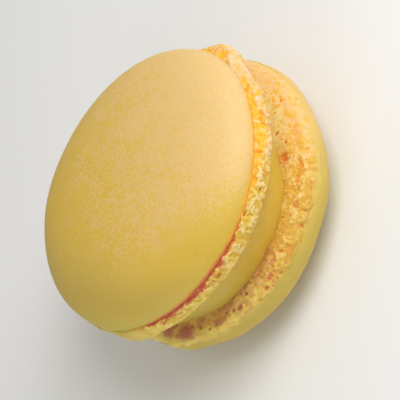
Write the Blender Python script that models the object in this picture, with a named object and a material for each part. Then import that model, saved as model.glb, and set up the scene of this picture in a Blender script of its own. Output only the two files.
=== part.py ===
"""A French macaron: two domed almond shells, each with its ruffled foot, round a disc of filling.

It lies on its lower shell, +Z up. The origin is the middle of the small flat spot under that shell.
Each shell is turned about its own axis in local coordinates whose +Z points from the foot to the
crown and whose zero height is the rim, the widest ring of the smooth dome. The lower shell is the
same shape turned over. Real shells are never quite round or level, so waves round the axis are
added to the rim, the edge of the skin and the foot.
"""

import math
import random
from dataclasses import dataclass

import bmesh
import bpy
from mathutils import Quaternion, Vector

MM = 0.001

# Driving dimensions
UPPER_RIM_RADIUS = 22.5 * MM
LOWER_RIM_RADIUS = 23.25 * MM
RIM_TO_RIM = 12.2 * MM  # between the two rims, along the lower shell's axis
UPPER_CROWN = 6.9 * MM  # from rim to crown
LOWER_CROWN = 7.4 * MM
CROWN_POWER = 2.28  # 2 would be an ellipse; more is flatter on top with a rounder shoulder
REST_RADIUS = 7.0 * MM  # the flat spot that the lower crown rests on
FILLING_RADIUS = 19.7 * MM
FILLING_BULGE = 0.35 * MM
FILLING_GAP = 0.3 * MM  # clearance kept between the filling and each shell

UPPER_SHIFT = (-0.86 * MM, 0.20 * MM)  # the upper shell sits a little off centre
LEAN = math.radians(4.25)  # and leans, so that the sandwich is a wedge
LEAN_AZIMUTH = math.radians(38.5)

# Mesh density
SEGMENTS = 96
DOME_RINGS = 9
UPPER_ARC_RINGS = 3
LOWER_ARC_RINGS = 4
FILLING_RINGS = 4
FRILL_SEED = 11
SHARP_ANGLE = math.radians(50)


@dataclass(frozen=True)
class Wave:
    """A swelling repeated round the axis, highest at azimuth (degrees)."""

    lobes: int
    height: float
    azimuth: float

    def at(self, angle):
        return self.height * math.cos(self.lobes * (angle - math.radians(self.azimuth)))


@dataclass(frozen=True)
class Bulge:
    """A single swelling, or hollow if its height is negative, about width degrees each side of azimuth."""

    azimuth: float
    width: float
    height: float

    def at(self, angle):
        off = (math.degrees(angle) - self.azimuth + 180) % 360 - 180
        return self.height * math.exp(-((off / self.width) ** 2))


@dataclass(frozen=True)
class Shell:
    """One baked shell. Depths are measured from the rim towards the filling."""

    rim_radius: float
    crown: float
    flat_radius: float  # of the flat spot on the crown; 0 leaves the crown whole
    skin_depth: float  # where the smooth skin ends in a crevice
    foot_depth: float  # of the flat underside
    foot_flare: float  # how far the foot stands out past the rim
    foot_widest: float  # share of the foot's depth at which it is widest
    foot_reach: float  # how far the rounded edge of the underside reaches inwards
    rim_waves: tuple
    skin_waves: tuple
    flare_waves: tuple


CREVICE = 0.75 * MM  # how far the crevice cuts in under the skin
SKIN_TUCK = 0.2 * MM  # how far the skin turns in before the crevice
LEAST_SKIN = 0.25 * MM

UPPER = Shell(
    rim_radius=UPPER_RIM_RADIUS,
    crown=UPPER_CROWN,
    flat_radius=0.0,
    skin_depth=0.3 * MM,
    foot_depth=3.3 * MM,
    foot_flare=0.65 * MM,
    foot_widest=0.62,
    foot_reach=1.3 * MM,
    rim_waves=(
        Wave(2, 0.23 * MM, -54),
        Wave(3, 0.15 * MM, -3),
        Wave(4, 0.11 * MM, 11),
        Bulge(18, 14, -0.15 * MM),
        Bulge(86, 14, -0.2 * MM),
        Bulge(170, 14, -0.2 * MM),
        Bulge(-153, 12, -0.15 * MM),
    ),
    skin_waves=(Wave(1, 0.1 * MM, 84), Wave(2, 0.15 * MM, 86)),
    flare_waves=(
        Bulge(-7, 9, 1.7 * MM),
        Bulge(18, 16, -0.7 * MM),
        Bulge(-45, 25, 0.5 * MM),
        Bulge(180, 28, -0.5 * MM),
        Bulge(-122, 22, -0.45 * MM),
        Bulge(-161, 10, 0.75 * MM),
    ),
)
LOWER = Shell(
    rim_radius=LOWER_RIM_RADIUS,
    crown=LOWER_CROWN,
    flat_radius=REST_RADIUS,
    skin_depth=0.85 * MM,
    foot_depth=3.45 * MM,
    foot_flare=-0.05 * MM,
    foot_widest=0.33,
    foot_reach=3.9 * MM,
    rim_waves=(
        Wave(2, 0.33 * MM, -57),
        Wave(3, 0.28 * MM, 27),
        Bulge(4, 12, -0.12 * MM),
        Bulge(-38, 12, -0.3 * MM),
        Bulge(-72, 11, 0.25 * MM),
        Bulge(-86, 14, -0.35 * MM),
        Bulge(-156, 7, -0.3 * MM),
        Bulge(-165, 8, 0.2 * MM),
        Bulge(179, 10, -0.4 * MM),
    ),
    skin_waves=(Wave(1, 0.4 * MM, -178), Wave(2, 0.6 * MM, 40)),
    flare_waves=(Wave(2, 0.15 * MM, 20), Bulge(0, 25, -0.4 * MM), Bulge(180, 14, -0.25 * MM)),
)
FILLING_WAVES = (
    Bulge(-42, 22, -2.4 * MM),
    Bulge(-62, 10, -0.3 * MM),
    Bulge(-150, 15, -0.4 * MM),
)

# Ruffles of the foot: lobes round the axis and the size of each
FRILLS = ((5, 0.10 * MM), (8, 0.12 * MM), (13, 0.11 * MM), (19, 0.08 * MM))
FRILL_SLANT = math.radians(2.5)  # the ruffles wander round the axis by this much from ring to ring


def clear_scene():
    for obj in list(bpy.data.objects):
        bpy.data.objects.remove(obj, do_unlink=True)


def material(name, colour, roughness):
    made = bpy.data.materials.new(name)
    made.use_nodes = True
    shader = made.node_tree.nodes["Principled BSDF"]
    shader.inputs["Base Color"].default_value = (*colour, 1.0)
    shader.inputs["Roughness"].default_value = roughness
    shader.inputs["Metallic"].default_value = 0.0
    return made


def frill_waves(source):
    """A shell's own set of ruffles, the same on every run."""
    return tuple(
        Wave(lobes, height * source.uniform(0.7, 1.3), source.uniform(0, 360))
        for lobes, height in FRILLS
    )


def total(waves, angle):
    return sum(wave.at(angle) for wave in waves)


def dome_share(turn):
    """Shares of the rim radius and the crown height on the dome, from turn 0 at the rim up to 90 degrees."""
    power = 2 / CROWN_POWER
    return math.cos(turn) ** power, math.sin(turn) ** power


def top_turn(shell):
    """How far up the dome its rings go: to the flat spot, or nearly to the pole."""
    if not shell.flat_radius:
        return math.pi / 2 * (1 - 1 / (DOME_RINGS + 1))
    return math.acos((shell.flat_radius / shell.rim_radius) ** (CROWN_POWER / 2))


def dome_rings(shell):
    """Rings of (radius, height) functions of azimuth, from the top down to just above the rim."""
    for step in range(DOME_RINGS, 0, -1):
        across, up = dome_share(top_turn(shell) * step / DOME_RINGS)

        def ring(angle, across=across, up=up):
            rim = shell.rim_radius + total(shell.rim_waves, angle)
            return rim * across, shell.crown * up

        yield ring


def skin_end(shell, angle):
    return max(LEAST_SKIN, shell.skin_depth + total(shell.skin_waves, angle))


def rim_rings(shell):
    """The rim, the edge of the skin tucked in below it, and the bottom of the crevice."""
    for inset, depth_share in ((0.0, 0.0), (SKIN_TUCK, 1.0), (CREVICE, 1.25)):

        def ring(angle, inset=inset, depth_share=depth_share):
            rim = shell.rim_radius + total(shell.rim_waves, angle)
            return rim - inset, -skin_end(shell, angle) * depth_share

        yield ring


def foot_rings(shell, source):
    """The ruffled foot: a short arc out from the crevice, then a longer one in to the flat underside."""
    frills = frill_waves(source)
    for step in range(1, UPPER_ARC_RINGS + LOWER_ARC_RINGS + 1):
        outwards = step <= UPPER_ARC_RINGS
        if outwards:
            turn = math.pi / 2 * (1 - step / UPPER_ARC_RINGS)
        else:
            turn = math.pi / 2 * (step - UPPER_ARC_RINGS) / LOWER_ARC_RINGS
        # The ruffles fade towards the flat underside.
        ruffled = 1 - 0.5 * math.sin(turn) if outwards else math.cos(turn)
        slant = FRILL_SLANT * step

        def ring(angle, turn=turn, outwards=outwards, ruffled=ruffled, slant=slant):
            rim = shell.rim_radius + total(shell.rim_waves, angle)
            flare = shell.foot_flare + total(shell.flare_waves, angle)
            start = skin_end(shell, angle) * 1.25
            widest = start + (shell.foot_depth - start) * shell.foot_widest
            if outwards:
                reach, rise = CREVICE + flare, start - widest
            else:
                reach, rise = shell.foot_reach + flare, shell.foot_depth - widest
            radius = rim + flare - reach * (1 - math.cos(turn))
            depth = widest + rise * math.sin(turn)
            return radius + total(frills, angle + slant) * ruffled, -depth

        yield ring


def ring_of_vertices(mesh, ring, turned_over):
    """One ring of vertices. A shell that is turned over has its crown downwards."""
    side = -1 if turned_over else 1
    made = []
    for step in range(SEGMENTS):
        angle = 2 * math.pi * step / SEGMENTS
        radius, height = ring(angle)
        made.append(mesh.verts.new((radius * math.cos(angle), radius * math.sin(angle), side * height)))
    return made


def loft(name, rings, turned_over=False, pole=None):
    """A closed body through the rings, first to last, capped flat or with a pole at the first."""
    mesh = bmesh.new()
    loops = [ring_of_vertices(mesh, ring, turned_over) for ring in rings]
    for above, below in zip(loops, loops[1:]):
        for step in range(SEGMENTS):
            after = (step + 1) % SEGMENTS
            mesh.faces.new((above[step], below[step], below[after], above[after]))
    mesh.faces.new(loops[-1])
    if pole is None:
        mesh.faces.new(loops[0])
    else:
        tip = mesh.verts.new((0, 0, -pole if turned_over else pole))
        for step in range(SEGMENTS):
            mesh.faces.new((tip, loops[0][step], loops[0][(step + 1) % SEGMENTS]))
    bmesh.ops.recalc_face_normals(mesh, faces=mesh.faces)
    bmesh.ops.triangulate(mesh, faces=mesh.faces)
    data = bpy.data.meshes.new(name)
    mesh.to_mesh(data)
    mesh.free()
    data.shade_smooth()
    data.set_sharp_from_angle(angle=SHARP_ANGLE)
    obj = bpy.data.objects.new(name, data)
    bpy.context.scene.collection.objects.link(obj)
    return obj


def shell_body(name, shell, turned_over):
    source = random.Random(FRILL_SEED + turned_over)
    rings = [*dome_rings(shell), *rim_rings(shell), *foot_rings(shell, source)]
    pole = None if shell.flat_radius else shell.crown
    return loft(name, rings, turned_over, pole)


def crown_height(shell):
    """From the rim to the top of the dome, or to its flat spot."""
    return shell.crown * dome_share(top_turn(shell))[1] if shell.flat_radius else shell.crown


def lean():
    """The turn that tips the upper shell towards LEAN_AZIMUTH."""
    return Quaternion((-math.sin(LEAN_AZIMUTH), math.cos(LEAN_AZIMUTH), 0), LEAN)


def upper_centre():
    return Vector((*UPPER_SHIFT, crown_height(LOWER) + RIM_TO_RIM))


def height_under_upper_shell(x, y):
    """The height of the upper shell's flat underside over a point."""
    normal = lean() @ Vector((0, 0, 1))
    foot = upper_centre() - normal * UPPER.foot_depth
    return foot.z - (normal.x * (x - foot.x) + normal.y * (y - foot.y)) / normal.z


def filling_body(name):
    """The filling: a disc whose top follows the leaning shell and whose side swells a little."""
    floor = crown_height(LOWER) + LOWER.foot_depth + FILLING_GAP

    def ring_at(share):
        def ring(angle):
            bulge = FILLING_BULGE * math.sin(math.pi * share)
            radius = FILLING_RADIUS + bulge + total(FILLING_WAVES, angle)
            x, y = radius * math.cos(angle), radius * math.sin(angle)
            top = height_under_upper_shell(x, y) - FILLING_GAP
            return radius, floor + (top - floor) * share

        return ring

    return loft(name, [ring_at(step / FILLING_RINGS) for step in range(FILLING_RINGS, -1, -1)])


def build():
    clear_scene()
    lower = shell_body("lower_shell", LOWER, turned_over=True)
    lower.location.z = crown_height(LOWER)
    lower.data.materials.append(material("lower_shell", (0.72, 0.47, 0.14), 0.6))
    upper = shell_body("upper_shell", UPPER, turned_over=False)
    upper.location = upper_centre()
    upper.rotation_euler = lean().to_euler()
    upper.data.materials.append(material("upper_shell", (0.72, 0.47, 0.14), 0.6))
    filling = filling_body("filling")
    filling.data.materials.append(material("filling", (0.68, 0.42, 0.07), 0.45))


build()
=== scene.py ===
"""The look of a French macaron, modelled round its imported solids.

Each shell is two pieces: a smooth skin over the dome, and the crumbly foot under its edge. The
filling is one more. Shapes are worked out in millimetres, first in a shell's own coordinates,
where height runs from the foot (negative) through the rim (zero) to the crown, and then in the
row frame. Azimuths are in degrees, counted from +X towards +Y. The camera stands on the -Y side.
"""

import itertools
import math
from dataclasses import dataclass

import bpy
import numpy as np
from mathutils import Matrix, Quaternion, Vector


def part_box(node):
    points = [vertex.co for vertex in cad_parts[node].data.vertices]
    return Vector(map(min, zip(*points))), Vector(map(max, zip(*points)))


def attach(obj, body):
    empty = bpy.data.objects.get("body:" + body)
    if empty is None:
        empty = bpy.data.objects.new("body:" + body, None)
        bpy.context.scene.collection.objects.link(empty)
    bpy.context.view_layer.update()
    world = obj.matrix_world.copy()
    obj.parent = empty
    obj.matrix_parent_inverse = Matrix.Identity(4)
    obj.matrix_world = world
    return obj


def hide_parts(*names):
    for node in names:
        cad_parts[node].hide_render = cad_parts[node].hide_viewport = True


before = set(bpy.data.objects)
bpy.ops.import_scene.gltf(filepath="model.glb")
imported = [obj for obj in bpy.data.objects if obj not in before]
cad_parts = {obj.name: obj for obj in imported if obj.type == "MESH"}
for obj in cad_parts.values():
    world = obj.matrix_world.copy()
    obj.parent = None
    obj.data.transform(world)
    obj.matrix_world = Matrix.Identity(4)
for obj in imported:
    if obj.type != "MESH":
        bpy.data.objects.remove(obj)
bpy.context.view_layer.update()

MM = 0.001

# ---------------------------------------------------------------- sizes, in millimetres

LOWER_BOX = [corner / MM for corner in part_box("lower_shell")]
UPPER_BOX = [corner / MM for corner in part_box("upper_shell")]
FILLING_BOX = [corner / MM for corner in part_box("filling")]

LOWER_FOOT_DEPTH = 3.45
LOWER_RIM_HEIGHT = LOWER_BOX[1].z - LOWER_FOOT_DEPTH
RIM_TO_RIM = 12.2
UPPER_CENTRE = Vector((-0.86, 0.20, LOWER_RIM_HEIGHT + RIM_TO_RIM))
LEAN = math.radians(4.25)  # of the upper shell's axis
LEAN_AZIMUTH = math.radians(38.5)
LEAN_TURN = Quaternion((-math.sin(LEAN_AZIMUTH), math.cos(LEAN_AZIMUTH), 0), LEAN)
FILLING_RADIUS = (FILLING_BOX[1].x - FILLING_BOX[0].x) / 2

DOME_POWER = 2.28  # 2 would be an ellipse; more is flatter on top with a rounder shoulder


@dataclass(frozen=True)
class Wave:
    """A swelling repeated round the axis, highest at azimuth."""

    lobes: int
    height: float
    azimuth: float

    def at(self, angle):
        return self.height * np.cos(self.lobes * (angle - math.radians(self.azimuth)))


@dataclass(frozen=True)
class Bulge:
    """A single swelling, or a hollow if its height is negative, about width degrees either side."""

    azimuth: float
    width: float
    height: float

    def at(self, angle):
        return self.height * near(angle, self.azimuth, self.width)


@dataclass(frozen=True)
class Mark:
    """A hole or a brown mark at one place on a foot. The brown marks are partly painted shade.

    Its share says how far down the foot's side it is: 0 in the crevice, 1 where the level
    underside starts, and more than 1 on that underside.
    """

    azimuth: float
    share: float
    width: float  # half its size round the axis
    height: float  # half its size along the side
    depth: float  # of a hole, from 0 to 1, or how dark a brown mark is


@dataclass(frozen=True)
class Shell:
    """One shell. Depths are measured from the rim towards the filling."""

    name: str
    turned_over: bool
    rim_radius: float
    crown: float
    skin_depth: float
    lip: float  # radius of the roll of the skin's edge
    crease_waves: tuple  # where a shallow crease runs round the skin above its edge
    crease_rise: tuple  # how much further up the crease runs than its usual height
    crevice: float  # how far the foot starts in under the skin's edge
    foot_depth: float
    foot_flare: float  # how far the foot stands out beyond the rim
    foot_widest: float  # share of its depth at which it does
    foot_reach: float  # how far its side runs in to the level underside
    foot_power: float  # of the curve of its side: 2 would be an ellipse
    foot_flat: float  # how much of the level underside is shaped beyond the rounded side
    foot_split: float  # share of the side's rows that lie above its widest place
    rim_waves: tuple  # what makes the rim uneven
    skin_waves: tuple  # what makes the skin's depth uneven
    flare_waves: tuple  # what makes the foot's flare uneven
    crumb_start: tuple  # shares of the foot's side between which the crumb sets in
    crumb_waves: tuple
    crumb_end: float  # share of the side where the crumb ends
    crumb_end_waves: tuple
    bite: float  # share of the foot's side that the crevice eats into
    bite_depth: float
    bite_waves: tuple
    bite_edge: float  # how softly the bite ends, in shares of the side
    filling_shade_waves: tuple  # where painted shade browns the foot beside the filling
    plain_waves: tuple  # where the foot is as smooth as the skin
    lit_pale_waves: tuple  # where painted light makes the foot paler beside the filling, under the upper shell
    dull_waves: tuple  # where the foot has fewer pale tips beside the skin
    holes: tuple
    smudges_and_shade: tuple  # soft brown marks, partly painted shade
    seed: int


UPPER = Shell(
    name="upper",
    turned_over=False,
    rim_radius=22.5,
    crown=UPPER_BOX[1].z - UPPER_CENTRE.z,
    skin_depth=0.30,
    lip=0.40,
    crease_waves=(Bulge(-155, 42, 1.0),),
    crease_rise=(Bulge(180, 32, 1.9),),
    crevice=0.15,
    foot_depth=3.3,
    foot_flare=0.65,
    foot_widest=0.62,
    foot_reach=1.3,
    foot_power=2.5,
    foot_flat=0.5,
    foot_split=0.5,
    rim_waves=(
        Wave(2, 0.23, -54),
        Wave(3, 0.15, -3),
        Wave(4, 0.11, 11),
        Bulge(18, 14, -0.15),
        Bulge(86, 14, -0.2),
        Bulge(170, 14, -0.2),
        Bulge(-153, 12, -0.15),
    ),
    skin_waves=(Wave(1, 0.10, 84), Wave(2, 0.15, 86)),
    flare_waves=(
        Bulge(-7, 9, 1.7),
        Bulge(18, 16, -0.7),
        Bulge(-45, 25, 0.5),
        Bulge(180, 28, -0.5),
        Bulge(-122, 22, -0.45),
        Bulge(-161, 10, 0.75),
    ),
    crumb_start=(0.0, 0.05),
    crumb_waves=(Bulge(-5, 35, -0.6),),
    crumb_end=1.2,
    crumb_end_waves=(Bulge(-140, 32, -0.65),),
    bite=0.08,
    bite_depth=0.25,
    bite_waves=(Bulge(-24, 9, -0.14), Bulge(-55, 13, 0.30), Bulge(-126, 20, 0.20)),
    bite_edge=0.06,
    filling_shade_waves=(),
    plain_waves=(Bulge(-178, 20, 1.5),),
    lit_pale_waves=(),
    dull_waves=(),
    holes=(
        Mark(-32, 0.10, 0.7, 0.4, 0.8),
        Mark(-47, 0.29, 0.8, 0.35, 0.9),
        Mark(-63, 0.14, 0.4, 0.4, 1),
        Mark(-71, 0.44, 1.0, 0.9, 0.55),
        Mark(-87, 0.08, 0.7, 0.25, 1),
        Mark(-113, 0.36, 0.55, 0.5, 0.8),
        Mark(-135, 0.28, 0.6, 0.4, 0.5),
        Mark(-141, 0.22, 0.5, 0.4, 0.6),
    ),
    smudges_and_shade=(),
    seed=20,
)
LOWER = Shell(
    name="lower",
    turned_over=True,
    rim_radius=23.25,
    crown=7.4,
    skin_depth=0.85,
    lip=0.10,
    crease_waves=(),
    crease_rise=(),
    crevice=0.05,
    foot_depth=LOWER_FOOT_DEPTH,
    foot_flare=-0.05,
    foot_widest=0.33,
    foot_reach=3.9,
    foot_power=2.1,
    foot_flat=2.2,
    foot_split=0.36,
    rim_waves=(
        Wave(2, 0.33, -57),
        Wave(3, 0.28, 27),
        Bulge(4, 12, -0.12),
        Bulge(-38, 12, -0.3),
        Bulge(-72, 11, 0.25),
        Bulge(-86, 14, -0.35),
        Bulge(-156, 7, -0.3),
        Bulge(-165, 8, 0.2),
        Bulge(179, 10, -0.4),
    ),
    skin_waves=(Wave(1, 0.40, -178), Wave(2, 0.60, 40)),
    flare_waves=(
        Wave(2, 0.15, 20),
        Bulge(0, 25, -0.4),
        Bulge(180, 14, -0.25),
        Bulge(-36, 20, 0.2),
    ),
    crumb_start=(0.0, 0.18),
    crumb_waves=(Bulge(0, 40, -0.9), Bulge(-45, 14, -0.55), Bulge(-170, 28, -0.7)),
    crumb_end=2.0,
    crumb_end_waves=(),
    bite=0.16,
    bite_depth=0.02,
    bite_waves=(),
    bite_edge=0.14,
    filling_shade_waves=(Bulge(-122, 34, 0.95),),
    plain_waves=(),
    lit_pale_waves=(Bulge(-35, 22, 1.0),),
    dull_waves=(Bulge(-92, 32, 0.3),),
    holes=(
        Mark(-58.5, 1.06, 1.1, 0.9, 1),
        Mark(-45, 1.08, 0.35, 0.5, 0.9),
        Mark(-57, 0.33, 0.6, 0.4, 0.45),
        Mark(-54.6, 0.07, 0.35, 0.6, 0.4),
        Mark(-50, 0.53, 4, 0.8, 0.32),
        Mark(-68, 0.58, 3.5, 0.8, 0.5),
        Mark(-80, 0.53, 0.8, 0.6, 0.6),
        Mark(-85.5, 0.84, 0.4, 0.4, 0.8),
        Mark(-91, 0.97, 0.4, 0.4, 0.8),
        Mark(-87, 0.18, 0.35, 0.35, 0.7),
        Mark(-96, 0.42, 0.5, 0.7, 0.6),
        Mark(-99, 0.52, 0.35, 0.35, 0.9),
        Mark(-103.5, 0.59, 0.5, 0.45, 0.7),
        Mark(-109, 0.44, 1.1, 0.45, 0.75),
        Mark(-114, 0.33, 0.5, 0.5, 1),
        Mark(-110, 1.04, 0.7, 0.5, 0.7),
        Mark(-116, 0.99, 0.9, 0.6, 0.7),
        Mark(-122, 0.67, 0.4, 0.3, 0.9),
        Mark(-128, 0.51, 0.6, 0.4, 0.9),
        Mark(-151, 0.60, 0.5, 0.4, 0.6),
        Mark(-159, 0.68, 0.5, 0.6, 0.5),
    ),
    smudges_and_shade=(
        Mark(-58, 1.06, 1.4, 1.6, 0.4),
        Mark(-139, 0.55, 2.0, 0.6, 0.75),
        Mark(-133, 0.85, 2.6, 0.8, 0.5),
        Mark(-149, 0.72, 1.6, 0.9, 0.6),
        Mark(-160, 0.62, 2.4, 1.3, 0.95),
        Mark(-169, 0.80, 2.6, 1.5, 0.9),
        Mark(-177, 0.80, 2.0, 1.2, 0.9),
    ),
    seed=50,
)

# ---------------------------------------------------------------- noise in space

HASH_PRIMES = np.array((73856093, 19349663, 83492791), np.int64)
TABLE_SIZE = 65537
CORNERS = tuple(itertools.product((0, 1), repeat=3))
NEIGHBOURS = tuple(itertools.product((-1, 0, 1), repeat=3))
PERLIN_GAIN = 1.6  # brings the noise to about -1 to 1


def table_rows(cells, table):
    """The table's row for each cell of whole-number coordinates."""
    index = np.bitwise_xor.reduce(cells * HASH_PRIMES, axis=-1) % len(table)
    return table[index]


def perlin(points, size, seed):
    """Smooth noise from about -1 to 1 whose features have that size."""
    gradients = np.random.default_rng(seed).normal(size=(TABLE_SIZE, 3))
    gradients /= np.linalg.norm(gradients, axis=1, keepdims=True)
    place = points / size
    base = np.floor(place).astype(np.int64)
    part = place - base
    fade = part * part * part * (part * (part * 6 - 15) + 10)
    result = np.zeros(points.shape[:-1])
    for corner in CORNERS:
        slope = table_rows(base + corner, gradients)
        weight = np.where(corner, fade, 1 - fade).prod(axis=-1)
        result += weight * (slope * (part - corner)).sum(axis=-1)
    return result * PERLIN_GAIN


@dataclass(frozen=True)
class Noise:
    """Layers of smooth noise, each half the size of the one before and gain times as strong."""

    height: float  # the noise runs from about -height to height
    size: float
    seed: int  # added to that of the piece
    octaves: int = 1
    gain: float = 0.5

    def on(self, points, seed):
        strengths = [self.gain**k for k in range(self.octaves)]
        layers = [
            strength * perlin(points, self.size / 2**k, seed + self.seed + k)
            for k, strength in enumerate(strengths)
        ]
        return self.height * (sum(layers) / sum(strengths))


@dataclass(frozen=True)
class Scatter:
    """Round spots scattered through space, at most one in each cell as wide as the spacing."""

    spacing: float
    share: float  # of the cells that hold a spot
    smallest: float  # radius of a spot
    largest: float
    seed: int  # added to that of the piece

    def on(self, points, seed):
        """1 in the middle of a spot, 0 outside."""
        # For each cell: the place of its spot, whether it has one, and how large it is
        table = np.random.default_rng(seed + self.seed).random((TABLE_SIZE, 5))
        place = points / self.spacing
        base = np.floor(place).astype(np.int64)
        highest = np.zeros(points.shape[:-1])
        for step in NEIGHBOURS:
            cell = base + step
            draw = table_rows(cell, table)
            spread = (self.largest - self.smallest) * draw[..., 4]
            radius = (self.smallest + spread) / self.spacing
            away = ((place - cell - draw[..., :3]) ** 2).sum(axis=-1) / radius**2
            here = np.where(draw[..., 3] < self.share, np.clip(1 - away, 0, 1), 0)
            highest = np.maximum(highest, np.sqrt(here))
        return highest


def drift(noises, points, seed):
    """A smooth shift for each point, with a noise for each of the three directions."""
    return np.stack([noise.on(points, seed) for noise in noises], axis=-1)


def smoothstep(low, high, value):
    part = np.clip((value - low) / (high - low), 0, 1)
    return part * part * (3 - 2 * part)


def degrees_from(angle, azimuth):
    return (np.degrees(angle) - azimuth + 180) % 360 - 180


def near(angle, azimuth, width):
    """1 at that azimuth, fading to 0 over about width degrees either side."""
    return np.exp(-((degrees_from(angle, azimuth) / width) ** 2))


# ---------------------------------------------------------------- surfaces

LEAST_DROP = 0.12  # of the skin's edge below the rim


def waves(group, angle):
    return sum((wave.at(angle) for wave in group), np.zeros_like(angle))


def polar(radius, angle, height):
    return np.stack([radius * np.cos(angle), radius * np.sin(angle), height], axis=-1)


def in_row_frame(shell, points):
    """From the shell's own coordinates to the row frame."""
    if shell.turned_over:
        return points * (1, 1, -1) + (0, 0, LOWER_RIM_HEIGHT)
    turn = np.array(LEAN_TURN.to_matrix())
    return points @ turn.T + np.array(UPPER_CENTRE)


def normals(grid):
    """Unit normals of a grid of points, rows along the profile and columns round the axis."""
    along = np.gradient(grid, axis=0)
    ahead = np.roll(grid, -1, axis=1) - np.roll(grid, 1, axis=1)
    cross = np.cross(along, ahead)
    return cross / np.maximum(np.linalg.norm(cross, axis=-1, keepdims=True), 1e-12)


def angles(columns):
    return np.arange(columns) * (2 * math.pi / columns)


def grid_mesh(name, grid, first_pole=None, last_pole=None, closed=False, flip=False):
    """A mesh from a grid of points in millimetres.

    A pole closes an end; closed joins the last row to the first.
    """
    rows, columns = grid.shape[:2]
    points = grid.reshape(-1, 3)
    index = np.arange(rows * columns).reshape(rows, columns)
    after = np.roll(index, -1, axis=1)
    lower = np.roll(index, -1, axis=0)
    lower_after = np.roll(after, -1, axis=0)
    last = rows if closed else rows - 1
    quads = np.stack([index, lower, lower_after, after], axis=-1)[:last].reshape(-1, 4)
    faces = quads.tolist()
    for pole, row, forward in ((first_pole, 0, True), (last_pole, rows - 1, False)):
        if pole is None:
            continue
        tip = len(points)
        points = np.vstack([points, pole])
        pairs = zip(index[row].tolist(), after[row].tolist())
        faces += [(tip, a, b) if forward else (tip, b, a) for a, b in pairs]
    if flip:
        faces = [face[::-1] for face in faces]
    data = bpy.data.meshes.new(name)
    data.from_pydata((points * MM).tolist(), [], faces)
    data.shade_smooth()
    return add_to_scene(name, data)


def add_to_scene(name, data):
    thing = bpy.data.objects.new(name, data)
    bpy.context.scene.collection.objects.link(thing)
    return thing


def store(piece, name, values):
    """A number for each vertex, for the material to read. Poles get the value 0."""
    attribute = piece.data.attributes.new(name, "FLOAT", "POINT")
    padded = np.zeros(len(piece.data.vertices), np.float32)
    padded[: values.size] = values.reshape(-1)
    attribute.data.foreach_set("value", padded)


def rim_radius(shell, angle):
    return shell.rim_radius + waves(shell.rim_waves, angle)


def skin_drop(shell, angle):
    """How far below the rim the skin's edge hangs."""
    return np.maximum(LEAST_DROP, shell.skin_depth + waves(shell.skin_waves, angle))


# ---------------------------------------------------------------- skins

SKIN_COLUMNS = 720
SKIN_DOME_ROWS = 112
SKIN_LIP_ROWS = 12
# The skin's hidden end, in under its own edge: distances inwards, and shares of its drop
TUCK, TUCK_DROP = 0.4, 0.8
SKIN_INSIDE, SKIN_INSIDE_DROP = 2.6, 0.4
CROWN_RISE = 0.02  # closes the dome a little above its last row

SWELL = Noise(0.07, 9, seed=0)
SMALL_SWELL = Noise(0.03, 3.5, seed=1)
DOME_GRAIN = Noise(0.008, 0.9, seed=2, octaves=3)
EDGE_RAG = Noise(0.10, 1.3, seed=5)
EDGE_HEIGHT = 1.2  # above the rim, where the skin begins to show its edge
PINHOLES = Scatter(2.6, 0.5, 0.10, 0.26, seed=4)
SMALL_PINHOLES = Scatter(1.5, 0.4, 0.07, 0.14, seed=6)
SMALL_PINHOLE_SHARE = 0.8  # of a pinhole's depth
PINHOLE_DEPTH = 0.09
CREASE_HEIGHT = 2.5
CREASE_WIDTH = 1.2
CREASE_DEPTH = 0.2
HEM_TOP, HEM_FULL = -0.6, -2.4  # heights from the crease, where the painted light on the hem under it shows


def skin_profile(shell, angle):
    """Radius and height of each row of the skin, from beside the crown to its hidden end."""
    rim = rim_radius(shell, angle)
    drop = skin_drop(shell, angle)
    power = 2 / DOME_POWER
    rows = []
    for turn in np.linspace(math.pi / 2, 0, SKIN_DOME_ROWS + 1)[1:]:
        height = shell.crown * math.sin(turn) ** power
        rows.append((rim * math.cos(turn) ** power, np.full_like(rim, height)))
    for turn in np.linspace(0, math.pi / 2, SKIN_LIP_ROWS + 1)[1:]:
        rows.append((rim - shell.lip * (1 - math.cos(turn)), -drop * math.sin(turn)))
    rows.append((rim - shell.lip - TUCK, -drop * TUCK_DROP))
    rows.append((rim - SKIN_INSIDE, -drop * SKIN_INSIDE_DROP))
    return rows


def make_skin(shell):
    angle = angles(SKIN_COLUMNS)
    grid = np.stack([polar(r, angle, h) for r, h in skin_profile(shell, angle)])
    out = normals(grid)
    height = grid[..., 2]
    swell = SWELL.on(grid, shell.seed) + SMALL_SWELL.on(grid, shell.seed)
    small = SMALL_PINHOLE_SHARE * SMALL_PINHOLES.on(grid, shell.seed)
    pinholes = np.maximum(PINHOLES.on(grid, shell.seed), small)
    edge = smoothstep(EDGE_HEIGHT, 0.0, height)
    texture = DOME_GRAIN.on(grid, shell.seed) + edge * EDGE_RAG.on(grid, shell.seed)
    # A real shallow groove; the material paints shade in it and light on the hem below it.
    creased = waves(shell.crease_waves, angle)
    above = height - CREASE_HEIGHT - waves(shell.crease_rise, angle)
    crease = creased * np.exp(-((above / CREASE_WIDTH) ** 2))
    lit_hem = creased * smoothstep(HEM_TOP, HEM_FULL, above)
    relief = swell + texture - CREASE_DEPTH * crease - PINHOLE_DEPTH * pinholes
    # Nothing goes below the ground, which the lower crown rests on.
    world = in_row_frame(shell, grid + out * relief[..., None])
    world[..., 2] = np.maximum(world[..., 2], 0)
    crown = in_row_frame(shell, np.array((0, 0, shell.crown + CROWN_RISE)))
    crown[2] = max(crown[2], 0)
    inside = in_row_frame(shell, np.zeros(3))
    piece = grid_mesh(shell.name + "_skin", world, crown, inside, flip=shell.turned_over)
    store(piece, "pinhole", pinholes)
    store(piece, "edge", edge)
    store(piece, "crease", crease)
    store(piece, "lit_hem", lit_hem)
    return piece


# ---------------------------------------------------------------- feet

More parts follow.
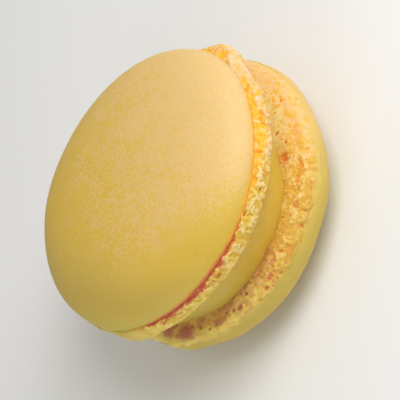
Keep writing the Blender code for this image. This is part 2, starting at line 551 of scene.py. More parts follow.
FOOT_COLUMNS = 1280
FOOT_ROWS = 76
FOOT_PROFILE_ROWS = 60
FOOT_FLAT_ROWS = 8
FOOT_INNER_RADIUS = 16.3
FOOT_START = 0.7  # of the skin's drop, where the foot starts behind it
FOOT_SEED = 10  # added to the shell's
RELIEF_FADE = 0.06  # shares of the side at both ends over which the relief fades

# Noise that bends the foot's coordinates, so that nothing on it looks round or straight
BEND = tuple(Noise(0.30, 1.3, seed) for seed in (5, 6, 7))
FLECK_BEND = tuple(Noise(0.25, 0.9, seed) for seed in (22, 23, 24))

# The foot's ruffles
RUFFLE = Noise(0.14, 2.4, seed=0)
SMALL_RUFFLE = Noise(0.07, 1.1, seed=1)
RUFFLE_SQUEEZE = 0.4  # makes them tall

# Where it is crumbly, and how unevenly that starts and ends
PATCH = Noise(1, 3.0, seed=18)
CRUMB_PATCH = 0.2
PLAIN_PATCH = 0.25
WANDER = Noise(0.10, 1.8, seed=19)  # its height is a share of the side
CRUMB_LEAST = 0.1
CRUMB_END_FADE = 0.1
PLAIN_FADE = (0.2, 0.8)

# The crumb: what makes it up, how far that stands out, and how much it lightens the crumb, partly
# its own colour and partly painted highlight and shade
CHUNKS = Noise(1, 1.5, seed=16, octaves=4, gain=0.65)
CHUNK_EDGE = (-0.22, 0.26)
CHUNK_HEIGHT, CHUNK_SHADE, CHUNK_MIDDLE = 0.23, 0.42, 0.5
LUMPS = Scatter(0.62, 0.8, 0.20, 0.44, seed=3)
LUMP_HEIGHT, LUMP_SHADE, LUMP_MIDDLE = 0.07, 0.10, 0.4
SPECKS = Scatter(0.70, 0.75, 0.16, 0.42, seed=28)
SPECK_EDGE = (0.1, 0.8)
SPECK_HEIGHT, SPECK_SHADE = 0.05, 0.30
GRIT = Noise(1, 0.32, seed=15, octaves=2)
GRIT_HEIGHT, GRIT_SHADE = 0.015, 0.07
PORES = Scatter(0.6, 0.35, 0.10, 0.24, seed=9)
PORE_DEPTH, PORE_SHADE = 0.08, 0.08
SMOOTH_LEVEL = 0.82  # where there is no crumb
CRUMB_SHADE = -0.31
DULL_FADE = (0.5, 0.2)  # shares of the side

# Holes
PITS = Scatter(1.5, 0.25, 0.18, 0.42, seed=8)
PIT_DEPTH = 0.30
PIT_SMOOTH_SHARE = 0.4  # of that depth where there is no crumb
HOLE_RAG = Noise(1.6, 0.8, seed=20, octaves=3, gain=0.8)
HOLE_REACH = 1.1  # how far out a hole would go if its outline weren't ragged
HOLE_LIMIT = (3, 1.5)  # distances between which its outline has to end

# Brown marks, partly painted shade, and the painted shade beside the filling, drawn out round the
# axis
DRAWN_SQUEEZE = 2.0
SMUDGE_AND_SHADE_RAG = Noise(2.4, 2.6, seed=27, octaves=5, gain=0.8)
SMUDGE_AND_SHADE_FADE = (2.4, -0.3)
FILLING_SHADE_RAG = Noise(1.6, 2.2, seed=26, octaves=5, gain=0.8)
FILLING_SHADE_MIDDLE = 0.6
FILLING_SHADE_FADE = (0.3, 0.9)
PALE_FADE = (0.5, 1.0)

# Flecks, which show where the foot is smooth. They are long round the axis.
FLECK_SQUEEZE = 1.5
FLECKS = Scatter(1.2, 0.75, 0.28, 0.62, seed=13)
SMALL_FLECKS = Scatter(0.8, 0.45, 0.2, 0.4, seed=25)
FLECK_EDGE = (0.05, 0.5)
STREAKS = Noise(1, 1.7, seed=29, octaves=3, gain=0.8)
STREAK_EDGE = (0.0, 0.28)
STREAK_SHARE = 0.85
FEWER_STREAKS = Bulge(0, 28, 0.40)
FLECKED = Bulge(-33, 48, 1.0)
FLECK_CRUMB = (0.95, 0.65)  # how crumbly the foot is where flecks fade in
PALE_FLECKS = 0.75  # share of the flecks that the painted light beside the filling hides
PALE_FLECK_FADE = (0.8, 1.1)

# The bite that the crevice takes out of the foot
BITE_SWING = Noise(0.14, 1.7, seed=11)  # heights are shares of the side
BITE_RAG = Noise(0.22, 0.9, seed=12, octaves=3, gain=0.6)


@dataclass(frozen=True)
class Side:
    """The places on a foot's visible side, whose surface is a grid of rows and columns."""

    shell: Shell
    angle: np.ndarray  # of each column
    reach: np.ndarray  # how far each row is from the crevice, in millimetres
    share: np.ndarray  # the same, with 1 where the level underside starts

    def unrolled(self, squeeze=1.0):
        """Coordinates in which the side is a plain cylinder, so that noise follows its surface."""
        across, along = np.meshgrid(self.angle, self.reach)
        return polar(np.full_like(across, self.shell.rim_radius), across, along * squeeze)

    def row_share(self, low, high):
        """1 or 0 for each row, eased between those shares of the side, as a column."""
        return smoothstep(low, high, self.share)[:, None]

    def distance(self, mark):
        """0 in the middle of a mark, 1 at its edge, growing with the square of the distance."""
        off = degrees_from(self.angle, mark.azimuth)
        side = self.reach[-1] / self.share[-1]
        across = np.radians(off) * self.shell.rim_radius / mark.width
        along = ((self.share - mark.share) * side / mark.height)[:, None]
        return across**2 + along**2


def foot_profile(shell, angle):
    """Radius and height of the foot's visible side, from in the crevice to its flat underside."""
    rim = rim_radius(shell, angle)
    flare = shell.foot_flare + waves(shell.flare_waves, angle)
    depth = np.full_like(rim, shell.foot_depth)
    crevice = shell.crevice * (1 - np.clip(waves(shell.plain_waves, angle), 0, 1))
    start = skin_drop(shell, angle) * FOOT_START
    widest = start + (depth - start) * shell.foot_widest
    power = 2 / shell.foot_power
    upper_rows = round(FOOT_PROFILE_ROWS * shell.foot_split)
    rows = []
    for turn in np.linspace(math.pi / 2, 0, upper_rows):
        across, down = math.cos(turn) ** power, math.sin(turn) ** power
        inset = (crevice + flare) * (1 - across)
        rows.append((rim + flare - inset, -(widest - (widest - start) * down)))
    for turn in np.linspace(0, math.pi / 2, FOOT_PROFILE_ROWS - upper_rows + 1)[1:]:
        across, down = math.cos(turn) ** power, math.sin(turn) ** power
        inset = (shell.foot_reach + flare) * (1 - across)
        rows.append((rim + flare - inset, -(widest + (depth - widest) * down)))
    for part in np.linspace(0, 1, FOOT_FLAT_ROWS + 1)[1:]:
        rows.append((rim - shell.foot_reach - shell.foot_flat * part, -depth))
    return rows


def even_rows(grid, rows):
    """The same surface with its rows spaced evenly.

    With it come how far along the profile each row is, and what share of its side that is.
    """
    steps = np.linalg.norm(np.diff(grid, axis=0), axis=-1).mean(axis=1)
    reach = np.concatenate([[0], np.cumsum(steps)])
    wanted = np.linspace(0, reach[-1], rows)
    at = np.interp(wanted, reach, np.arange(len(reach)))
    low = np.minimum(at.astype(int), len(grid) - 2)
    part = (at - low)[:, None, None]
    surface = grid[low] * (1 - part) + grid[low + 1] * part
    return surface, wanted, wanted / reach[FOOT_PROFILE_ROWS - 1]


def crumbliness(side, flat, patch, plain, seed):
    """How crumbly the foot is, from 0 where it is smooth to 1."""
    shell = side.shell
    wander = side.share[:, None] + WANDER.on(flat, seed)
    end = shell.crumb_end + waves(shell.crumb_end_waves, side.angle)
    crumb = 1 + waves(shell.crumb_waves, side.angle) + CRUMB_PATCH * patch
    crumb = np.clip(crumb, CRUMB_LEAST, 1) * smoothstep(*shell.crumb_start, wander)
    crumb = crumb * smoothstep(end + CRUMB_END_FADE, end - CRUMB_END_FADE, wander)
    return crumb * (1 - plain)


def holes_in(side, flat, bent, seed):
    """1 at the bottom of a hole: those placed one by one, and small ones spread at random."""
    holes = PITS.on(bent, seed)
    reach = HOLE_REACH + HOLE_RAG.on(flat, seed)
    for hole in side.shell.holes:
        away = side.distance(hole)
        dent = smoothstep(0, 1, reach - away) * smoothstep(*HOLE_LIMIT, away)
        holes = np.maximum(holes, hole.depth * dent)
    return holes


def brown_marks_and_shade(side, seed):
    """How brown the foot is: its brown marks, partly painted shade, and the painted shade beside
    the filling.
    """
    drawn = side.unrolled(squeeze=DRAWN_SQUEEZE)
    ragged = SMUDGE_AND_SHADE_RAG.on(drawn, seed)
    smudges_and_shade = np.zeros_like(ragged)
    for smudge_and_shade in side.shell.smudges_and_shade:
        inside = smoothstep(*SMUDGE_AND_SHADE_FADE, side.distance(smudge_and_shade) - ragged)
        smudges_and_shade = np.maximum(smudges_and_shade, smudge_and_shade.depth * inside)
    filling_shade = waves(side.shell.filling_shade_waves, side.angle) * side.row_share(*FILLING_SHADE_FADE)
    filling_shade = filling_shade * (FILLING_SHADE_MIDDLE + FILLING_SHADE_RAG.on(drawn, seed))
    return np.clip(np.maximum(smudges_and_shade, filling_shade), 0, 1)


def flecks_on(side, flat, crumb, seed):
    """Where the foot has orange flecks."""
    long = side.unrolled(squeeze=FLECK_SQUEEZE) + drift(FLECK_BEND, flat, seed)
    spots = np.maximum(FLECKS.on(long, seed), SMALL_FLECKS.on(long, seed))
    streaks = smoothstep(*STREAK_EDGE, STREAKS.on(long, seed) - FEWER_STREAKS.at(side.angle))
    flecks = np.maximum(smoothstep(*FLECK_EDGE, spots), STREAK_SHARE * streaks)
    flecks = flecks * smoothstep(*FLECK_CRUMB, crumb) * FLECKED.at(side.angle)
    lit_pale = PALE_FLECKS * waves(side.shell.lit_pale_waves, side.angle)
    return flecks * (1 - lit_pale * side.row_share(*PALE_FLECK_FADE))


def bite_into(side, flat, bent, plain, seed):
    """1 where the crevice has bitten into the foot."""
    shell = side.shell
    edge = shell.bite + waves(shell.bite_waves, side.angle)
    swing = BITE_SWING.on(flat, seed) + BITE_RAG.on(bent, seed)
    inside = edge + swing - side.share[:, None]
    return smoothstep(-shell.bite_edge, shell.bite_edge, inside) * (1 - plain)


def foot_relief(side):
    """How far the foot's surface stands out in millimetres, and what its material reads.

    The level runs from 0 in the gaps between crumbs to 1 on their tips, and is painted partly as
    shade in the gaps and highlight on the tips. Every other mark runs from 0 where there is none to
    1.
    """
    shell = side.shell
    seed = shell.seed + FOOT_SEED
    flat = side.unrolled()
    bent = flat + drift(BEND, flat, seed)
    patch = PATCH.on(flat, seed)
    plain = smoothstep(*PLAIN_FADE, waves(shell.plain_waves, side.angle) + PLAIN_PATCH * patch)
    crumb = crumbliness(side, flat, patch, plain, seed)
    holes = holes_in(side, flat, bent, seed)
    bite = bite_into(side, flat, bent, plain, seed)

    tall = side.unrolled(squeeze=RUFFLE_SQUEEZE)
    ruffle = RUFFLE.on(tall, seed) + SMALL_RUFFLE.on(tall, seed)
    chunks = smoothstep(*CHUNK_EDGE, CHUNKS.on(bent, seed)) - CHUNK_MIDDLE
    lumps = LUMPS.on(bent, seed) - LUMP_MIDDLE
    specks = smoothstep(*SPECK_EDGE, SPECKS.on(bent, seed))
    grit = GRIT.on(bent, seed)
    pores = PORES.on(bent, seed)
    mass = CHUNK_HEIGHT * chunks + LUMP_HEIGHT * lumps + SPECK_HEIGHT * specks
    relief = ruffle + crumb * (mass + GRIT_HEIGHT * grit - PORE_DEPTH * pores)
    hollow = PIT_SMOOTH_SHARE + (1 - PIT_SMOOTH_SHARE) * crumb
    relief = relief - PIT_DEPTH * holes * hollow - shell.bite_depth * bite

    shade = CHUNK_SHADE * chunks + LUMP_SHADE * lumps + SPECK_SHADE * specks + CRUMB_SHADE
    shade = shade + GRIT_SHADE * grit - PORE_SHADE * pores
    dull = waves(shell.dull_waves, side.angle) * side.row_share(*DULL_FADE)
    marks = {
        "level": np.clip(SMOOTH_LEVEL + crumb * shade - dull, 0, 1),
        "hole": holes,
        "bite": bite,
        "fleck": flecks_on(side, flat, crumb, seed),
        "plain": plain,
        "lit_pale": waves(shell.lit_pale_waves, side.angle) * side.row_share(*PALE_FADE),
        "smudge_and_shade": brown_marks_and_shade(side, seed),
    }
    # The relief fades where the foot goes into the crevice and under the shell.
    last = side.share[-1]
    fade = side.row_share(0.0, RELIEF_FADE) * side.row_share(last, last - RELIEF_FADE)
    return relief * fade, marks


def make_foot(shell):
    angle = angles(FOOT_COLUMNS)
    rough = np.stack([polar(r, angle, h) for r, h in foot_profile(shell, angle)])
    surface, reach, share = even_rows(rough, FOOT_ROWS)
    relief, marks = foot_relief(Side(shell, angle, reach, share))
    surface = surface + normals(surface) * relief[..., None]
    # The hidden side runs level to the inner wall, up it, and back out under the skin.
    inner_radius = np.full_like(angle, FOOT_INNER_RADIUS)
    inner = polar(inner_radius, angle, surface[-1, :, 2])
    inner_top = polar(inner_radius, angle, surface[0, :, 2])
    loop = np.concatenate([surface, inner[None], inner_top[None]])
    world = in_row_frame(shell, loop)
    piece = grid_mesh(shell.name + "_foot", world, closed=True, flip=shell.turned_over)
    for name, values in marks.items():
        store(piece, name, np.concatenate([values, values[-1:], values[:1]]))
    return piece


# ---------------------------------------------------------------- filling

FILLING_COLUMNS = 900
FILLING_ROWS = 40
FILLING_SUNK = 0.5  # how far it reaches into each shell, so that no gap shows
FILLING_HOLLOW = 0.25  # how far its side curves in at its top and bottom
# Where its side is set in, so that the foot behind it shows
FILLING_WAVES = (Bulge(-42, 22, -2.4), Bulge(-62, 10, -0.3), Bulge(-150, 15, -0.4))
FILLING_SEED = 91
FILLING_SWELL = Noise(0.10, 5, seed=0)
FILLING_FOLD = Noise(0.05, 2.2, seed=1)
FOLD_SQUEEZE = (1, 1, 2)  # makes the folds long round the axis


def height_under_upper_shell(points, depth):
    """The height of the plane at that depth under the upper rim, over each point."""
    normal = LEAN_TURN @ Vector((0, 0, 1))
    foot = UPPER_CENTRE - normal * depth
    lean = normal.x * (points[..., 0] - foot.x) + normal.y * (points[..., 1] - foot.y)
    return foot.z - lean / normal.z


def make_filling():
    angle = angles(FILLING_COLUMNS)
    rows = []
    low = LOWER_BOX[1].z - FILLING_SUNK
    for share in np.linspace(1, 0, FILLING_ROWS):
        squeeze = FILLING_HOLLOW * np.sin(math.pi * share) - FILLING_HOLLOW
        radius = FILLING_RADIUS + squeeze + waves(FILLING_WAVES, angle)
        ring = polar(radius, angle, 0 * angle)
        top = height_under_upper_shell(ring, UPPER.foot_depth - FILLING_SUNK)
        ring[:, 2] = low + (top - low) * share
        rows.append(ring)
    grid = np.stack(rows)
    relief = FILLING_SWELL.on(grid, FILLING_SEED)
    relief = relief + FILLING_FOLD.on(grid * FOLD_SQUEEZE, FILLING_SEED)
    grid = grid + normals(grid) * relief[..., None]
    top_pole = np.array((0, 0, grid[0, :, 2].mean()))
    low_pole = np.array((0, 0, low))
    return grid_mesh("filling_layer", grid, top_pole, low_pole)


# ---------------------------------------------------------------- materials


@dataclass(frozen=True)
class Surface:
    """How a material scatters light, and the grain of its surface. Sizes are in millimetres."""

    roughness: float
    soak: float  # share of the light that goes in and comes out again
    soak_colour: tuple  # how far red, green and blue go, as shares of soak_depth
    soak_depth: float
    grain_size: float
    grain_detail: float
    grain_depth: float
    grain_strength: float


@dataclass(frozen=True)
class Region:
    """A part of the macaron along a direction: 0 as far as start, and 1 from full on."""

    direction: tuple
    start: float
    full: float


class Nodes:
    """Shorthand for making a material's nodes and linking them."""

    def __init__(self, name):
        self.material = bpy.data.materials.new(name)
        self.material.use_nodes = True
        self.tree = self.material.node_tree
        self.shader = self.tree.nodes["Principled BSDF"]

    def add(self, kind, settings=None, **inputs):
        node = self.tree.nodes.new(kind)
        for key, value in (settings or {}).items():
            setattr(node, key, value)
        for key, value in inputs.items():
            self.put(node.inputs[key.replace("_", " ")], value)
        return node

    def put(self, socket, value):
        if isinstance(value, bpy.types.NodeSocket):
            self.tree.links.new(value, socket)
        else:
            socket.default_value = value

    def mix(self, factor, first, second):
        """A mix of two colours."""
        node = self.add("ShaderNodeMix", {"data_type": "RGBA"}, Factor=factor)
        colours = [socket for socket in node.inputs if socket.type == "RGBA"]
        for socket, value in zip(colours, (first, second)):
            self.put(socket, value if isinstance(value, bpy.types.NodeSocket) else (*value, 1))
        return next(socket for socket in node.outputs if socket.type == "RGBA")

    def ramp(self, value, low, high):
        """0 at low, 1 at high, eased."""
        settings = {"interpolation_type": "SMOOTHSTEP"}
        node = self.add("ShaderNodeMapRange", settings, Value=value, From_Min=low, From_Max=high)
        return node.outputs["Result"]

    def place(self):
        """The point on the object, in millimetres."""
        coordinates = self.add("ShaderNodeTexCoord")
        scaled = self.add("ShaderNodeVectorMath", {"operation": "SCALE"}, Scale=1 / MM)
        self.put(scaled.inputs[0], coordinates.outputs["Object"])
        return scaled.outputs["Vector"]

    def along(self, place, direction):
        """How far the point lies along a direction, in millimetres."""
        node = self.add("ShaderNodeVectorMath", {"operation": "DOT_PRODUCT"})
        self.put(node.inputs[0], place)
        node.inputs[1].default_value = direction
        return node.outputs["Value"]

    def inside(self, place, region):
        """How far the point is inside a region, from 0 to 1."""
        return self.ramp(self.along(place, region.direction), region.start, region.full)

    def weigh(self, value, factor, rest=0.0):
        """value * factor + rest."""
        node = self.add("ShaderNodeMath", {"operation": "MULTIPLY_ADD"})
        for socket, number in zip(node.inputs, (value, factor, rest)):
            self.put(socket, number)
        return node.outputs["Value"]

    def both(self, first, second):
        """The product of two values."""
        node = self.add("ShaderNodeMath", {"operation": "MULTIPLY"})
        self.put(node.inputs[0], first)
        self.put(node.inputs[1], second)
        return node.outputs["Value"]

    def noise(self, place, size, detail=2.0, roughness=0.5):
        node = self.add(
            "ShaderNodeTexNoise",
            Vector=place,
            Scale=1 / size,
            Detail=detail,
            Roughness=roughness,
        )
        return node.outputs["Fac"]

    def attribute(self, name):
        return self.add("ShaderNodeAttribute", {"attribute_name": name}).outputs["Fac"]

    def finish(self, place, colour, surface):
        """The material, with that colour and surface."""
        grain = self.noise(place, surface.grain_size, detail=surface.grain_detail)
        bump = self.add(
            "ShaderNodeBump",
            Height=grain,
            Distance=surface.grain_depth * MM,
            Strength=surface.grain_strength,
        )
        values = {
            "Base Color": colour,
            "Roughness": surface.roughness,
            "Subsurface Weight": surface.soak,
            "Subsurface Radius": surface.soak_colour,
            "Subsurface Scale": surface.soak_depth * MM,
            "Normal": bump.outputs["Normal"],
        }
        for name, value in values.items():
            self.put(self.shader.inputs[name], value)
        return self.material


# Directions, in the row frame
TO_X = (1.0, 0.0, 0.0)
FROM_X = (-1.0, 0.0, 0.0)
TO_KEY_LIGHTS = (0.80, -0.60, 0.0)
TO_SHOULDER = (-0.52, -0.855, 0.0)
TO_CAMERA = (-0.1, -1.0, 0.0)

SKIN_SURFACE = Surface(
    roughness=0.58,
    soak=0.12,
    soak_colour=(1.0, 0.5, 0.2),
    soak_depth=1.0,
    grain_size=0.35,
    grain_detail=3,
    grain_depth=0.03,
    grain_strength=0.3,
)
FOOT_SURFACE = Surface(
    roughness=0.55,
    soak=0.4,
    soak_colour=(1.0, 0.45, 0.15),
    soak_depth=1.0,
    grain_size=0.16,
    grain_detail=2,
    grain_depth=0.03,
    grain_strength=0.4,
)
FILLING_SURFACE = Surface(
    roughness=0.45,
    soak=0.3,
    soak_colour=(1.0, 0.6, 0.2),
    soak_depth=1.5,
    grain_size=0.8,
    grain_detail=2,
    grain_depth=0.04,
    grain_strength=0.4,
)

# Colours of the upper skin. A pair is the two colours of a fine grain.
MUSTARD = (0.70, 0.46, 0.05)
PEACH = (0.745, 0.495, 0.185)
PAINTED_HIGHLIGHT = (0.735, 0.48, 0.17), (0.75, 0.52, 0.235)
SPECK = (0.74, 0.45, 0.05)
SHOULDER_SHADE = (0.65, 0.42, 0.03), (0.67, 0.45, 0.055)
FAR_SIDE_SHADE = (0.605, 0.415, 0.06), (0.635, 0.445, 0.09)
CREASE_SHADE = (0.575, 0.395, 0.068)
LIT_HEM = (0.63, 0.495, 0.083)
PAINTED_EDGE_GLOW = (0.74, 0.42, 0.04)
EDGE_SHADE_RED = (0.66, 0.20, 0.045)
EDGE_LIT_ORANGE = (0.80, 0.38, 0.03)
PINHOLE_SHADE = (0.62, 0.38, 0.05)

# Where they are, in millimetres, and how strong
PEACH_PER_MM, FINE_SWING, CLOUD_SWING = 0.011, 1.3, 0.45
MOTTLE = (0.71, 1.03)
GRAIN = (0.38, 0.62)
PAINTED_HIGHLIGHT_REGION = Region(TO_KEY_LIGHTS, 8.0, 26.0)
SPECKED_REGIONS = Region(TO_SHOULDER, -8.0, 10.0), Region(TO_KEY_LIGHTS, 22.0, 12.0)
SPECKED = (0.61, 0.72)
SHOULDER_SHADE_REGION = Region(TO_SHOULDER, 26.0, 32.0)
SHOULDER_SHADE_RAG = 24.0
FAR_SHADE_REGION = Region(FROM_X, 9.0, 19.0)
CREASE_SHADE_SHARE = 0.8
EDGE_REGION = Region(TO_CAMERA, 9.0, 17.0)
EDGE_GLOW_SHARE = 0.55
EDGE_TINT = (0.6, 1.1)
EDGE_LIT_REGION = Region(TO_X, -10.0, -1.0)


def skin_with_pinholes(made, place, colour):
    """What both skins have in common."""
    # Painted shade darkens the pinholes' dents.
    colour = made.mix(made.ramp(made.attribute("pinhole"), 0.0, 1.0), colour, PINHOLE_SHADE)
    return made.finish(place, colour, SKIN_SURFACE)


def upper_skin_material():
    made = Nodes("upper_skin")
    place = made.place()
    # Peach towards +X and -Y, mustard on the other side, and a fine mottle of both between them
    # The peach side faces the key lights, so this is partly the skin's own mottle and partly
    # painted highlight.
    towards_key_lights = made.along(place, TO_KEY_LIGHTS)
    fine = made.noise(place, 0.5, detail=3, roughness=0.75)
    cloud = made.noise(place, 3.0, detail=3, roughness=0.6)
    share = made.weigh(fine, FINE_SWING, made.weigh(cloud, CLOUD_SWING))
    share = made.weigh(towards_key_lights, PEACH_PER_MM, share)
    colour = made.mix(made.ramp(share, *MOTTLE), MUSTARD, PEACH)
    grain = made.ramp(fine, *GRAIN)
    # Painted highlight: paler at the far edge of the side towards the key lights.
    colour = made.mix(made.inside(place, PAINTED_HIGHLIGHT_REGION), colour, made.mix(grain, *PAINTED_HIGHLIGHT))
    # Small mustard specks towards -Y
    specks = made.ramp(made.noise(place, 0.6, detail=1), *SPECKED)
    specked = made.both(*(made.inside(place, region) for region in SPECKED_REGIONS))
    colour = made.mix(made.both(specks, specked), colour, SPECK)
    # Painted shade: a darker shoulder with a ragged border, and a duller side away from the lights
    ragged = made.weigh(fine, SHOULDER_SHADE_RAG, made.along(place, TO_SHOULDER))
    shoulder_shade = made.ramp(ragged, SHOULDER_SHADE_REGION.start, SHOULDER_SHADE_REGION.full)
    colour = made.mix(shoulder_shade, colour, made.mix(grain, *SHOULDER_SHADE))
    colour = made.mix(made.inside(place, FAR_SHADE_REGION), colour, made.mix(grain, *FAR_SIDE_SHADE))
    # Painted shade in the crease above the edge, and painted light on the hem below it
    colour = made.mix(made.weigh(made.attribute("crease"), CREASE_SHADE_SHARE), colour, CREASE_SHADE)
    colour = made.mix(made.attribute("lit_hem"), colour, LIT_HEM)
    # Painted glow on the edge above the crevice on the camera's side: painted light in orange
    # towards +X, painted shade in red towards -X.
    edge = made.attribute("edge")
    shown = made.inside(place, EDGE_REGION)
    colour = made.mix(made.both(made.weigh(edge, EDGE_GLOW_SHARE), shown), colour, PAINTED_EDGE_GLOW)
    light_and_shade_tint = made.mix(made.inside(place, EDGE_LIT_REGION), EDGE_SHADE_RED, EDGE_LIT_ORANGE)
    colour = made.mix(made.both(made.ramp(edge, *EDGE_TINT), shown), colour, light_and_shade_tint)
    return skin_with_pinholes(made, place, colour)


LOWER_SKIN = (0.60, 0.435, 0.07), (0.65, 0.47, 0.085)
LOWER_SKIN_LIT = (0.74, 0.49, 0.155)
LOWER_SKIN_CLOUD = (0.3, 0.7)
LOWER_LIT_REGION = Region(TO_X, 8.0, 19.0)


def lower_skin_material():
    made = Nodes("lower_skin")
    place = made.place()
    cloud = made.ramp(made.noise(place, 3.0, detail=3), *LOWER_SKIN_CLOUD)
    colour = made.mix(cloud, *LOWER_SKIN)
    colour = made.mix(made.inside(place, LOWER_LIT_REGION), colour, LOWER_SKIN_LIT)
    return skin_with_pinholes(made, place, colour)


# Colours of a foot at +X, in the middle and at -X; peachier towards +X, where the lights are, which
# is partly painted light
UPPER_FOOT = {
    "tip": ((0.80, 0.56, 0.33), (0.80, 0.58, 0.24), (0.84, 0.64, 0.16)),
    "body": ((0.75, 0.45, 0.12), (0.70, 0.46, 0.045), (0.74, 0.52, 0.07)),
    "gap": ((0.74, 0.40, 0.02), (0.65, 0.35, 0.02), (0.64, 0.36, 0.06)),
    "hole": ((0.78, 0.26, 0.01), (0.66, 0.22, 0.02), (0.64, 0.20, 0.05)),
    "smudge_and_shade": ((0.76, 0.24, 0.02), (0.68, 0.23, 0.03), (0.68, 0.24, 0.05)),
    "bite": ((0.86, 0.47, 0.01), (0.64, 0.12, 0.03), (0.60, 0.10, 0.045)),
    "bite_dark": ((0.80, 0.28, 0.01), (0.52, 0.07, 0.03), (0.50, 0.07, 0.045)),
    "bite_light": ((0.85, 0.56, 0.26), (0.70, 0.26, 0.05), (0.68, 0.26, 0.06)),
    "lit_pale": ((0.85, 0.64, 0.40), (0.80, 0.60, 0.26), (0.86, 0.64, 0.18)),
    "plain": ((0.74, 0.50, 0.16), (0.70, 0.46, 0.07), (0.66, 0.50, 0.11)),
}
LOWER_FOOT = {
    "tip": ((0.79, 0.52, 0.22), (0.79, 0.57, 0.20), (0.84, 0.66, 0.15)),
    "body": ((0.75, 0.42, 0.05), (0.71, 0.45, 0.05), (0.76, 0.53, 0.11)),
    "gap": ((0.73, 0.34, 0.02), (0.67, 0.34, 0.04), (0.66, 0.37, 0.10)),
    "hole": ((0.74, 0.21, 0.02), (0.74, 0.20, 0.04), (0.62, 0.17, 0.07)),
    "smudge_and_shade": ((0.80, 0.34, 0.03), (0.60, 0.24, 0.09), (0.46, 0.12, 0.10)),
    "bite": ((0.76, 0.53, 0.13), (0.66, 0.47, 0.07), (0.66, 0.49, 0.09)),
    "bite_dark": ((0.74, 0.46, 0.08), (0.66, 0.42, 0.06), (0.62, 0.44, 0.08)),
    "bite_light": ((0.76, 0.54, 0.16), (0.66, 0.47, 0.08), (0.66, 0.49, 0.09)),
    "lit_pale": ((0.88, 0.72, 0.31), (0.90, 0.75, 0.32), (0.80, 0.57, 0.13)),
    "plain": ((0.78, 0.49, 0.17), (0.66, 0.46, 0.08), (0.66, 0.49, 0.09)),
}
FLECK = (0.79, 0.44, 0.025)

PLUS_X_REGION = Region(TO_X, 2.0, 18.0)
PLUS_X_BITE_REGION = Region(TO_X, -5.0, 4.0)
MINUS_X_REGION = Region(TO_X, -2.0, -14.0)
TIP_LEVELS = (0.45, 0.80)
GAP_LEVELS = (0.45, 0.15)
HOLE_RIM_SHADE = (0.05, 0.5)
HOLE_HEART_SHADE = (0.35, 0.9)
BITE_DARK = (0.50, 0.36)
BITE_LIGHT = (0.54, 0.68)


def foot_material(name, colours):
    made = Nodes(name)
    place = made.place()
    at_plus_x, at_minus_x = made.inside(place, PLUS_X_REGION), made.inside(place, MINUS_X_REGION)
    bite_at_plus_x = made.inside(place, PLUS_X_BITE_REGION)

    def by_side(part, plus_x=at_plus_x):
        near_colour, middle, far_colour = colours[part]
        return made.mix(at_minus_x, made.mix(plus_x, middle, near_colour), far_colour)

    level, hole = made.attribute("level"), made.attribute("hole")
    # Painted highlight on the crumb's tips and painted shade in the gaps between them, partly the
    # crumb's own colour.
    gap = by_side("gap")
    colour = made.mix(made.ramp(level, *TIP_LEVELS), by_side("body"), by_side("tip"))
    colour = made.mix(made.ramp(level, *GAP_LEVELS), colour, gap)
    # Painted light: paler beside the filling, where the upper shell would shade the lower foot.
    colour = made.mix(made.attribute("lit_pale"), colour, by_side("lit_pale"))
    colour = made.mix(made.attribute("fleck"), colour, FLECK)
    # Painted shade in the holes: the gaps' colour round their rims, red-brown in their hearts.
    colour = made.mix(made.ramp(hole, *HOLE_RIM_SHADE), colour, gap)
    colour = made.mix(made.ramp(hole, *HOLE_HEART_SHADE), colour, by_side("hole"))
    # Brown marks, partly painted shade, and the painted shade beside the filling.
    colour = made.mix(made.attribute("smudge_and_shade"), colour, by_side("smudge_and_shade"))
    # The crevice's bite: on the upper foot a painted glow, orange where lit towards +X and red as
    # painted shade towards -X.
    blotch = made.noise(place, 1.1, detail=3, roughness=0.75)
    bitten, dark, light = (
        by_side(part, plus_x=bite_at_plus_x) for part in ("bite", "bite_dark", "bite_light")
    )
    bitten = made.mix(made.ramp(blotch, *BITE_DARK), bitten, dark)
    bitten = made.mix(made.ramp(blotch, *BITE_LIGHT), bitten, light)
    colour = made.mix(made.attribute("bite"), colour, bitten)
    colour = made.mix(made.attribute("plain"), colour, by_side("plain"))
    return made.finish(place, colour, FOOT_SURFACE)


FILLING = (0.67, 0.43, 0.04), (0.71, 0.46, 0.06)
FILLING_CLOUD = (0.35, 0.65)
# Painted light, lighter towards +X where the lights are, and painted shade, darker and olive
# towards -X.
FILLING_LIGHT_AND_SHADE = (
    (Region(TO_X, 4.0, 13.0), (0.71, 0.52, 0.08)),
    (Region(FROM_X, 4.0, 15.0), (0.62, 0.46, 0.075)),
)


def filling_material():
    made = Nodes("filling")
    place = made.place()
    cloud = made.ramp(made.noise(place, 2.2, detail=3), *FILLING_CLOUD)
    colour = made.mix(cloud, *FILLING)
    for region, light_and_shade_tint in FILLING_LIGHT_AND_SHADE:
        colour = made.mix(made.inside(place, region), colour, light_and_shade_tint)
    return made.finish(place, colour, FILLING_SURFACE)


# ---------------------------------------------------------------- stage, lights and camera


@dataclass(frozen=True)
class Softbox:
    """A round light that faces the macaron. Its power is in watts."""

    name: str
    azimuth: float
    elevation: float
    power: float


LIGHTS = (
    Softbox("key_high", -48, 50, 0.38),
    Softbox("key_low", -22, 28, 0.32),
    Softbox("fill", -150, 22, 0.14),
)
LIGHT_DISTANCE = 300
LIGHT_SIZE = 180

FLOOR_HALF = 1500
FLOOR_COLOUR = (0.86, 0.86, 0.86)
FLOOR_ROUGHNESS = 0.9
SKY_COLOUR = (1, 0.985, 0.92)
SKY_STRENGTH = 0.45

VIEW_FROM_AXIS = math.radians(49.77)  # between the line of sight and the macaron's own axis
VIEW_ROLL = math.radians(161.57)
VIEW_DISTANCE = 500.0
VIEW_SHIFT = (-1.816, 0.674)  # the view's middle, right of and above the lower rim's middle
LENS = 291.7
SENSOR_WIDTH = 36
CLIP_START = 10


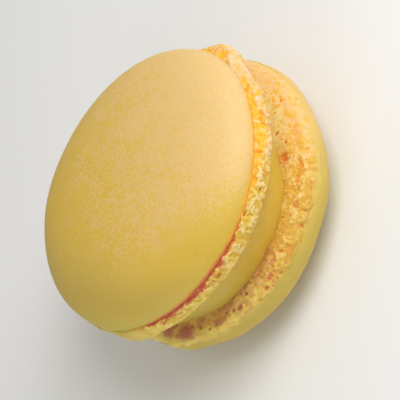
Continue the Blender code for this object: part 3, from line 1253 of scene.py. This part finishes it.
def view_directions():
    """Unit vectors to the right of the picture, to its top, and from the object to the camera."""
    away, roll = VIEW_FROM_AXIS, VIEW_ROLL
    right = (math.sin(roll), math.cos(away) * math.cos(roll), math.sin(away) * math.cos(roll))
    top = (-math.cos(roll), math.cos(away) * math.sin(roll), math.sin(away) * math.sin(roll))
    return Vector(right), Vector(top), Vector(right).cross(Vector(top))


def add_camera():
    right, top, back = view_directions()
    middle = Vector((0, 0, LOWER_RIM_HEIGHT)) + right * VIEW_SHIFT[0] + top * VIEW_SHIFT[1]
    camera = bpy.data.cameras.new("camera")
    camera.lens = LENS
    camera.sensor_width = SENSOR_WIDTH
    camera.clip_start = CLIP_START * MM
    holder = add_to_scene("camera", camera)
    turn = Matrix((right, top, back)).transposed().to_4x4()
    holder.matrix_world = Matrix.Translation((middle + back * VIEW_DISTANCE) * MM) @ turn
    bpy.context.scene.camera = holder


def add_softbox(softbox):
    light = bpy.data.lights.new(softbox.name, "AREA")
    light.shape = "DISK"
    light.size = LIGHT_SIZE * MM
    light.energy = softbox.power
    holder = add_to_scene(softbox.name, light)
    turned, raised = math.radians(softbox.azimuth), math.radians(softbox.elevation)
    across = math.cos(raised)
    direction = Vector((math.cos(turned) * across, math.sin(turned) * across, math.sin(raised)))
    middle = Vector((0, 0, LOWER_RIM_HEIGHT))
    holder.location = (middle + direction * LIGHT_DISTANCE) * MM
    holder.rotation_euler = direction.to_track_quat("Z", "Y").to_euler()


def add_stage():
    floor = bpy.data.meshes.new("floor")
    half = FLOOR_HALF * MM
    corners = [(-half, -half, 0), (half, -half, 0), (half, half, 0), (-half, half, 0)]
    floor.from_pydata(corners, [], [(0, 1, 2, 3)])
    made = Nodes("floor")
    made.shader.inputs["Base Color"].default_value = (*FLOOR_COLOUR, 1)
    made.shader.inputs["Roughness"].default_value = FLOOR_ROUGHNESS
    floor.materials.append(made.material)
    add_to_scene("floor", floor)
    world = bpy.data.worlds.new("studio")
    bpy.context.scene.world = world
    world.use_nodes = True
    background = world.node_tree.nodes["Background"]
    background.inputs["Color"].default_value = (*SKY_COLOUR, 1)
    background.inputs["Strength"].default_value = SKY_STRENGTH


# ---------------------------------------------------------------- the macaron


def stand_for(node, piece, material):
    """Give a piece its material, and put it in the place of one of the frame's solids."""
    piece.data.materials.append(material)
    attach(piece, "root")
    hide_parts(node)


def main():
    for shell, skin, foot in (
        (UPPER, upper_skin_material(), foot_material("upper_foot", UPPER_FOOT)),
        (LOWER, lower_skin_material(), foot_material("lower_foot", LOWER_FOOT)),
    ):
        node = shell.name + "_shell"
        stand_for(node, make_skin(shell), skin)
        stand_for(node, make_foot(shell), foot)
    stand_for("filling", make_filling(), filling_material())
    add_stage()
    for softbox in LIGHTS:
        add_softbox(softbox)
    add_camera()
    bpy.context.scene.view_settings.view_transform = "Standard"


main()
